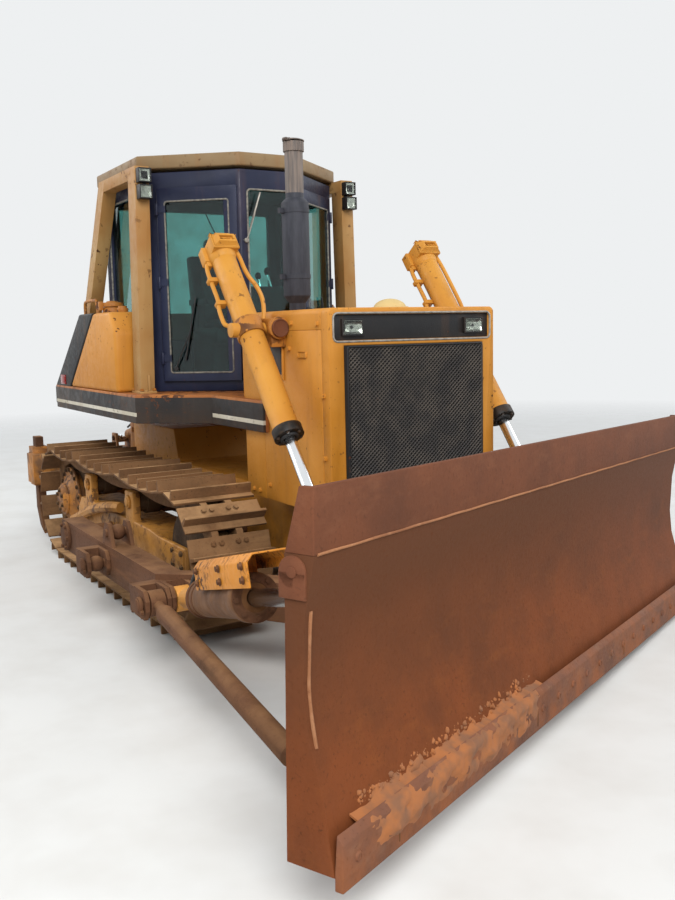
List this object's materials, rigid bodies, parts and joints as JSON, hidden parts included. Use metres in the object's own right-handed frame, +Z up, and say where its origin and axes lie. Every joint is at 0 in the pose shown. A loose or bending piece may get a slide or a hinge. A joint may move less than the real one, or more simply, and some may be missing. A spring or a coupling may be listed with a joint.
{
  "type": "crawler bulldozer",
  "caption": "Crawler bulldozer with an enclosed cab, an angled and tilting blade on a C-shaped push frame, crawler tracks and a rear ripper.",
  "frame": {"origin": "on the ground under the middle of the overall length and width, blade and ripper included", "axes": "+X forwards towards the blade, +Y to the machine's left, +Z up"},
  "size_m": [7.392, 4.0859, 3.355],
  "materials": {
    "yellow_paint": "weathered gloss",
    "black_paint": "satin",
    "rusty_steel": "rusty",
    "worn_edge": "worn",
    "track_steel": "dusty and rusty",
    "wheel_steel": "dusty paint",
    "engine_iron": "matt",
    "chrome_rod": "polished",
    "dark_glass": "clear",
    "lamp_glass": "clear",
    "red_lens": "gloss",
    "seat_cover": "matt",
    "cabin_plastic": "matt"
  },
  "bodies": {
    "chassis": {"cab_glass": "dark_glass", "cab_shell": "black_paint", "console": "cabin_plastic", "cowl": "yellow_paint", "deck": "black_paint", "engine_block": "engine_iron", "engine_covers": "yellow_paint", "exhaust_stack": "rusty_steel", "final_drives": "wheel_steel", "frame_axles": "yellow_paint", "fuel_tank": "yellow_paint", "grille": "black_paint", "guard_frame": "yellow_paint", "headlamps": "lamp_glass", "hood": "yellow_paint", "idlers": "wheel_steel", "lamp_panel": "black_paint", "lift_yoke_left": "yellow_paint", "lift_yoke_right": "yellow_paint", "main_frame": "yellow_paint", "radiator_core": "black_paint", "radiator_guard": "yellow_paint", "rear_brackets": "yellow_paint", "rear_covers": "black_paint", "roof": "yellow_paint", "seat": "seat_cover", "side_tanks": "yellow_paint", "sprockets": "track_steel", "tail_lamps": "red_lens", "track_frames": "yellow_paint", "track_left": "track_steel", "track_right": "track_steel", "track_rollers": "track_steel", "work_lamps": "lamp_glass"},
    "blade_frame": {"c_frame": "rusty_steel"},
    "blade": {"moldboard": "rusty_steel", "spill_plate": "rusty_steel", "cutting_edge": "worn_edge"},
    "lift_barrel_left": {"lift_barrel_left": "yellow_paint"},
    "lift_barrel_right": {"lift_barrel_right": "yellow_paint"},
    "lift_rod_left": {"lift_rod_left": "chrome_rod"},
    "lift_rod_right": {"lift_rod_right": "chrome_rod"},
    "lower_strut_left": {"lower_strut_left": "rusty_steel"},
    "lower_strut_right": {"lower_strut_right": "rusty_steel"},
    "upper_strut_left": {"upper_strut_left": "yellow_paint"},
    "tilt_barrel": {"tilt_barrel": "rusty_steel"},
    "tilt_rod": {"tilt_rod": "chrome_rod"},
    "cab_door_left": {"cab_door_left": "black_paint", "door_glass_left": "dark_glass"},
    "cab_door_right": {"cab_door_right": "black_paint", "door_glass_right": "dark_glass"},
    "ripper": {"ripper_frame": "yellow_paint", "ripper_shanks": "rusty_steel"},
    "ripper_barrels": {"ripper_barrels": "yellow_paint"},
    "ripper_rods": {"ripper_rods": "chrome_rod"}
  },
  "joints": [
    {"name": "blade_lift", "type": "hinge", "parent": "chassis", "child": "blade_frame", "pos_m": [-1.087, 0, 0.475], "axis": [0, -1, 0], "range_deg": [-7, 17]},
    {"name": "blade_tilt", "type": "hinge", "parent": "blade_frame", "child": "blade", "pos_m": [2.418, 0, 0.46], "axis": [0.9063, 0.4226, 0], "range_deg": [-3, 3]},
    {"name": "lift_barrel_swing_left", "type": "hinge", "parent": "chassis", "child": "lift_barrel_left", "pos_m": [0.785, 0.81, 2.02], "axis": [0, -1, 0], "range_deg": [-9, 21]},
    {"name": "lift_rod_slide_left", "type": "slide", "parent": "lift_barrel_left", "child": "lift_rod_left", "axis": [0.6148, 0, -0.7887], "range_m": [-0.75, 0.32]},
    {"name": "lift_barrel_swing_right", "type": "hinge", "parent": "chassis", "child": "lift_barrel_right", "pos_m": [0.785, -0.81, 2.02], "axis": [0, -1, 0], "range_deg": [-9, 21]},
    {"name": "lift_rod_slide_right", "type": "slide", "parent": "lift_barrel_right", "child": "lift_rod_right", "axis": [0.6148, 0, -0.7887], "range_m": [-0.75, 0.32]},
    {"name": "lower_strut_left_swing", "type": "hinge", "parent": "blade_frame", "child": "lower_strut_left", "pos_m": [-0.06, 1.61, 0.475], "axis": [0.0665, -0.9823, 0.1753], "range_deg": [-9, 9]},
    {"name": "lower_strut_right_swing", "type": "hinge", "parent": "blade_frame", "child": "lower_strut_right", "pos_m": [1.08, -1.61, 0.475], "axis": [0.0516, 0.9928, 0.1079], "range_deg": [-9, 9]},
    {"name": "upper_strut_left_swing", "type": "hinge", "parent": "blade_frame", "child": "upper_strut_left", "pos_m": [-0.06, 1.45, 0.675], "axis": [0.1901, -0.9577, -0.2162], "range_deg": [-9, 9]},
    {"name": "tilt_barrel_swing", "type": "hinge", "parent": "blade_frame", "child": "tilt_barrel", "pos_m": [1.08, -1.45, 0.475], "axis": [0.1805, 0.9549, -0.2359], "range_deg": [-9, 9]},
    {"name": "tilt_rod_slide", "type": "slide", "parent": "tilt_barrel", "child": "tilt_rod", "axis": [0.9611, -0.1202, 0.2488], "range_m": [-0.05, 0.05]},
    {"name": "cab_door_hinge_left", "type": "hinge", "parent": "chassis", "child": "cab_door_left", "pos_m": [-0.87036, 0.76802, 2.375], "axis": [0, 0, 1], "range_deg": [0, 75]},
    {"name": "cab_door_hinge_right", "type": "hinge", "parent": "chassis", "child": "cab_door_right", "pos_m": [-0.87036, -0.76802, 2.375], "axis": [0, 0, -1], "range_deg": [0, 75]},
    {"name": "ripper_lift", "type": "hinge", "parent": "chassis", "child": "ripper", "pos_m": [-2.86, 0, 0.64], "axis": [0, 1, 0], "range_deg": [-10, 25]},
    {"name": "ripper_barrel_swing", "type": "hinge", "parent": "chassis", "child": "ripper_barrels", "pos_m": [-2.81, 0, 1.09], "axis": [0, 1, 0], "range_deg": [-10, 24]},
    {"name": "ripper_rod_slide", "type": "slide", "parent": "ripper_barrels", "child": "ripper_rods", "axis": [-0.9769, 0, -0.2137], "range_m": [-0.2, 0.08]}
  ],
  "couplings": [
    {"joint": "lift_barrel_swing_left", "follows": "blade_lift", "ratio": 1.12},
    {"joint": "lift_rod_slide_left", "follows": "blade_lift", "m_per_rad": -2.4},
    {"joint": "lift_barrel_swing_right", "follows": "blade_lift", "ratio": 1.12},
    {"joint": "lift_rod_slide_right", "follows": "blade_lift", "m_per_rad": -2.4},
    {"joint": "lower_strut_left_swing", "follows": "blade_tilt", "ratio": 1.0431},
    {"joint": "lower_strut_right_swing", "follows": "blade_tilt", "ratio": 0.8814},
    {"joint": "upper_strut_left_swing", "follows": "blade_tilt", "ratio": 1.1433},
    {"joint": "tilt_barrel_swing", "follows": "blade_tilt", "ratio": 0.8889},
    {"joint": "tilt_rod_slide", "follows": "blade_tilt", "m_per_rad": -0.1786},
    {"joint": "ripper_barrel_swing", "follows": "ripper_lift", "ratio": 0.87},
    {"joint": "ripper_rod_slide", "follows": "ripper_lift", "m_per_rad": -0.44}
  ]
}
